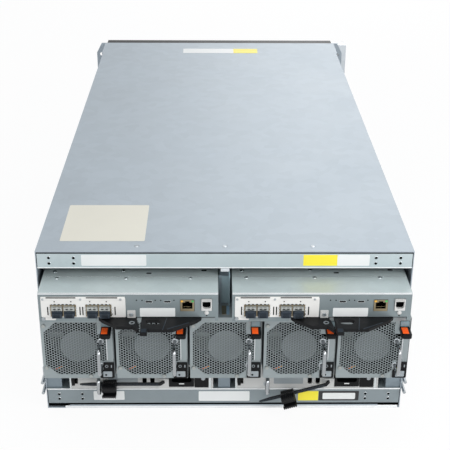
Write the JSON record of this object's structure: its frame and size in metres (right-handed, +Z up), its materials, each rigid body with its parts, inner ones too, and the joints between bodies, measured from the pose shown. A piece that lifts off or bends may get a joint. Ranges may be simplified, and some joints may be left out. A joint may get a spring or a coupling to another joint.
{
  "type": "disk shelf enclosure",
  "caption": "Rack-mounted disk shelf with two drive drawers, twin I/O canisters, a row of fan modules and twin power supplies.",
  "frame": {"origin": "centre of the chassis underside, halfway between the front and rear edges of the body", "axes": "+X to the right seen from the rear, +Y towards the drawer fronts, +Z up"},
  "size_m": [0.4915, 1.0202, 0.2223],
  "materials": {
    "galvanised": "satin",
    "sheet": "satin",
    "cream": "satin",
    "chrome": "polished",
    "black_plastic": "matte",
    "grey_plastic": "matte",
    "pale_plastic": "gloss",
    "orange": "matte",
    "board": "matte",
    "gold": "satin",
    "zinc": "satin",
    "drive_casting": "satin"
  },
  "bodies": {
    "chassis_tray": {"chassis_tray": "galvanised", "top_cover": "galvanised", "cover_screws": "chrome", "upper_rear_beam": "sheet", "lower_rear_beam": "sheet", "inner_frame": "galvanised", "midplane_board": "board", "rack_ears": "galvanised", "operator_panel": "pale_plastic", "rail_brackets": "zinc"},
    "lower_drawer_tray": {"lower_drawer_tray": "galvanised", "lower_drawer_bezel": "black_plastic", "lower_drawer_drives": "drive_casting"},
    "lower_drawer_slides": {"lower_drawer_slides": "zinc"},
    "lower_drawer_latch_left": {"lower_drawer_latch_left": "orange"},
    "lower_drawer_latch_right": {"lower_drawer_latch_right": "orange"},
    "upper_drawer_tray": {"upper_drawer_tray": "galvanised", "upper_drawer_bezel": "black_plastic", "upper_drawer_drives": "drive_casting"},
    "upper_drawer_slides": {"upper_drawer_slides": "zinc"},
    "upper_drawer_latch_left": {"upper_drawer_latch_left": "orange"},
    "upper_drawer_latch_right": {"upper_drawer_latch_right": "orange"},
    "io_left_case": {"io_left_case": "sheet", "io_left_ports": "gold"},
    "io_left_short_lever": {"io_left_short_lever": "black_plastic"},
    "io_left_long_lever": {"io_left_long_lever": "black_plastic"},
    "io_right_case": {"io_right_case": "sheet", "io_right_ports": "gold"},
    "io_right_short_lever": {"io_right_short_lever": "black_plastic"},
    "io_right_long_lever": {"io_right_long_lever": "black_plastic"},
    "fan_1_case": {"fan_1_case": "sheet", "fan_1_handle": "chrome"},
    "fan_1_latch": {"fan_1_latch": "orange"},
    "fan_1_rotor": {"fan_1_rotor": "black_plastic"},
    "fan_2_case": {"fan_2_case": "sheet", "fan_2_handle": "chrome"},
    "fan_2_latch": {"fan_2_latch": "orange"},
    "fan_2_rotor": {"fan_2_rotor": "black_plastic"},
    "fan_3_case": {"fan_3_case": "sheet", "fan_3_handle": "chrome"},
    "fan_3_latch": {"fan_3_latch": "orange"},
    "fan_3_rotor": {"fan_3_rotor": "black_plastic"},
    "fan_4_case": {"fan_4_case": "sheet", "fan_4_handle": "chrome"},
    "fan_4_latch": {"fan_4_latch": "orange"},
    "fan_4_rotor": {"fan_4_rotor": "black_plastic"},
    "fan_5_case": {"fan_5_case": "sheet", "fan_5_handle": "chrome"},
    "fan_5_latch": {"fan_5_latch": "orange"},
    "fan_5_rotor": {"fan_5_rotor": "black_plastic"},
    "power_right_case": {"power_right_case": "cream", "power_right_handle": "chrome", "power_right_strap": "black_plastic"},
    "power_right_latch": {"power_right_latch": "black_plastic"},
    "power_right_clamp": {"power_right_clamp": "black_plastic"},
    "power_left_case": {"power_left_case": "cream", "power_left_handle": "chrome", "power_left_strap": "black_plastic"},
    "power_left_latch": {"power_left_latch": "black_plastic"},
    "power_left_clamp": {"power_left_clamp": "black_plastic"}
  },
  "joints": [
    {"name": "lower_drawer", "type": "slide", "parent": "chassis_tray", "child": "lower_drawer_tray", "axis": [0, 1, 0], "range_m": [0, 0.52]},
    {"name": "lower_slides", "type": "slide", "parent": "chassis_tray", "child": "lower_drawer_slides", "axis": [0, 1, 0], "range_m": [0, 0.26]},
    {"name": "lower_latch_left", "type": "slide", "parent": "lower_drawer_tray", "child": "lower_drawer_latch_left", "axis": [1, 0, 0], "range_m": [0, 0.006]},
    {"name": "lower_latch_right", "type": "slide", "parent": "lower_drawer_tray", "child": "lower_drawer_latch_right", "axis": [-1, 0, 0], "range_m": [0, 0.006]},
    {"name": "upper_drawer", "type": "slide", "parent": "chassis_tray", "child": "upper_drawer_tray", "axis": [0, 1, 0], "range_m": [0, 0.52]},
    {"name": "upper_slides", "type": "slide", "parent": "chassis_tray", "child": "upper_drawer_slides", "axis": [0, 1, 0], "range_m": [0, 0.26]},
    {"name": "upper_latch_left", "type": "slide", "parent": "upper_drawer_tray", "child": "upper_drawer_latch_left", "axis": [1, 0, 0], "range_m": [0, 0.006]},
    {"name": "upper_latch_right", "type": "slide", "parent": "upper_drawer_tray", "child": "upper_drawer_latch_right", "axis": [-1, 0, 0], "range_m": [0, 0.006]},
    {"name": "left_canister", "type": "slide", "parent": "chassis_tray", "child": "io_left_case", "axis": [0, -1, 0], "range_m": [0, 0.2]},
    {"name": "left_short_lever", "type": "hinge", "parent": "io_left_case", "child": "io_left_short_lever", "pos_m": [-0.13855, -0.4816, 0.155], "axis": [0, 0, -1], "range_deg": [0, 55]},
    {"name": "left_long_lever", "type": "hinge", "parent": "io_left_case", "child": "io_left_long_lever", "pos_m": [-0.036, -0.4816, 0.155], "axis": [0, 0, 1], "range_deg": [0, 55]},
    {"name": "right_canister", "type": "slide", "parent": "chassis_tray", "child": "io_right_case", "axis": [0, -1, 0], "range_m": [0, 0.2]},
    {"name": "right_short_lever", "type": "hinge", "parent": "io_right_case", "child": "io_right_short_lever", "pos_m": [0.085, -0.4816, 0.155], "axis": [0, 0, -1], "range_deg": [0, 55]},
    {"name": "right_long_lever", "type": "hinge", "parent": "io_right_case", "child": "io_right_long_lever", "pos_m": [0.18755, -0.4816, 0.155], "axis": [0, 0, 1], "range_deg": [0, 55]},
    {"name": "fan_1", "type": "slide", "parent": "chassis_tray", "child": "fan_1_case", "axis": [0, -1, 0], "range_m": [0, 0.15]},
    {"name": "fan_1_latch", "type": "slide", "parent": "fan_1_case", "child": "fan_1_latch", "axis": [0, 0, -1], "range_m": [0, 0.0028]},
    {"name": "fan_1_rotor", "type": "hinge", "parent": "fan_1_case", "child": "fan_1_rotor", "pos_m": [-0.17485, -0.459, 0.10815], "axis": [0, -1, 0], "continuous": true},
    {"name": "fan_2", "type": "slide", "parent": "chassis_tray", "child": "fan_2_case", "axis": [0, -1, 0], "range_m": [0, 0.15]},
    {"name": "fan_2_latch", "type": "slide", "parent": "fan_2_case", "child": "fan_2_latch", "axis": [0, 0, -1], "range_m": [0, 0.0028]},
    {"name": "fan_2_rotor", "type": "hinge", "parent": "fan_2_case", "child": "fan_2_rotor", "pos_m": [-0.08685, -0.459, 0.10815], "axis": [0, -1, 0], "continuous": true},
    {"name": "fan_3", "type": "slide", "parent": "chassis_tray", "child": "fan_3_case", "axis": [0, -1, 0], "range_m": [0, 0.15]},
    {"name": "fan_3_latch", "type": "slide", "parent": "fan_3_case", "child": "fan_3_latch", "axis": [0, 0, -1], "range_m": [0, 0.0028]},
    {"name": "fan_3_rotor", "type": "hinge", "parent": "fan_3_case", "child": "fan_3_rotor", "pos_m": [0.00115, -0.459, 0.10815], "axis": [0, -1, 0], "continuous": true},
    {"name": "fan_4", "type": "slide", "parent": "chassis_tray", "child": "fan_4_case", "axis": [0, -1, 0], "range_m": [0, 0.15]},
    {"name": "fan_4_latch", "type": "slide", "parent": "fan_4_case", "child": "fan_4_latch", "axis": [0, 0, -1], "range_m": [0, 0.0028]},
    {"name": "fan_4_rotor", "type": "hinge", "parent": "fan_4_case", "child": "fan_4_rotor", "pos_m": [0.08915, -0.459, 0.10815], "axis": [0, -1, 0], "continuous": true},
    {"name": "fan_5", "type": "slide", "parent": "chassis_tray", "child": "fan_5_case", "axis": [0, -1, 0], "range_m": [0, 0.15]},
    {"name": "fan_5_latch", "type": "slide", "parent": "fan_5_case", "child": "fan_5_latch", "axis": [0, 0, -1], "range_m": [0, 0.0028]},
    {"name": "fan_5_rotor", "type": "hinge", "parent": "fan_5_case", "child": "fan_5_rotor", "pos_m": [0.17715, -0.459, 0.10815], "axis": [0, -1, 0], "continuous": true},
    {"name": "power_right", "type": "slide", "parent": "chassis_tray", "child": "power_right_case", "axis": [0, -1, 0], "range_m": [0, 0.25]},
    {"name": "power_right_latch", "type": "slide", "parent": "power_right_case", "child": "power_right_latch", "axis": [1, 0, 0], "range_m": [0, 0.003]},
    {"name": "power_right_clamp", "type": "slide", "parent": "power_right_case", "child": "power_right_clamp", "axis": [0.9563, 0, 0.2924], "range_m": [0, 0.03]},
    {"name": "power_left", "type": "slide", "parent": "chassis_tray", "child": "power_left_case", "axis": [0, -1, 0], "range_m": [0, 0.25]},
    {"name": "power_left_latch", "type": "slide", "parent": "power_left_case", "child": "power_left_latch", "axis": [1, 0, 0], "range_m": [0, 0.003]},
    {"name": "power_left_clamp", "type": "slide", "parent": "power_left_case", "child": "power_left_clamp", "axis": [1, 0, 0], "range_m": [0, 0.03]}
  ],
  "couplings": [
    {"joint": "lower_slides", "follows": "lower_drawer", "ratio": 0.5},
    {"joint": "upper_slides", "follows": "upper_drawer", "ratio": 0.5}
  ]
}
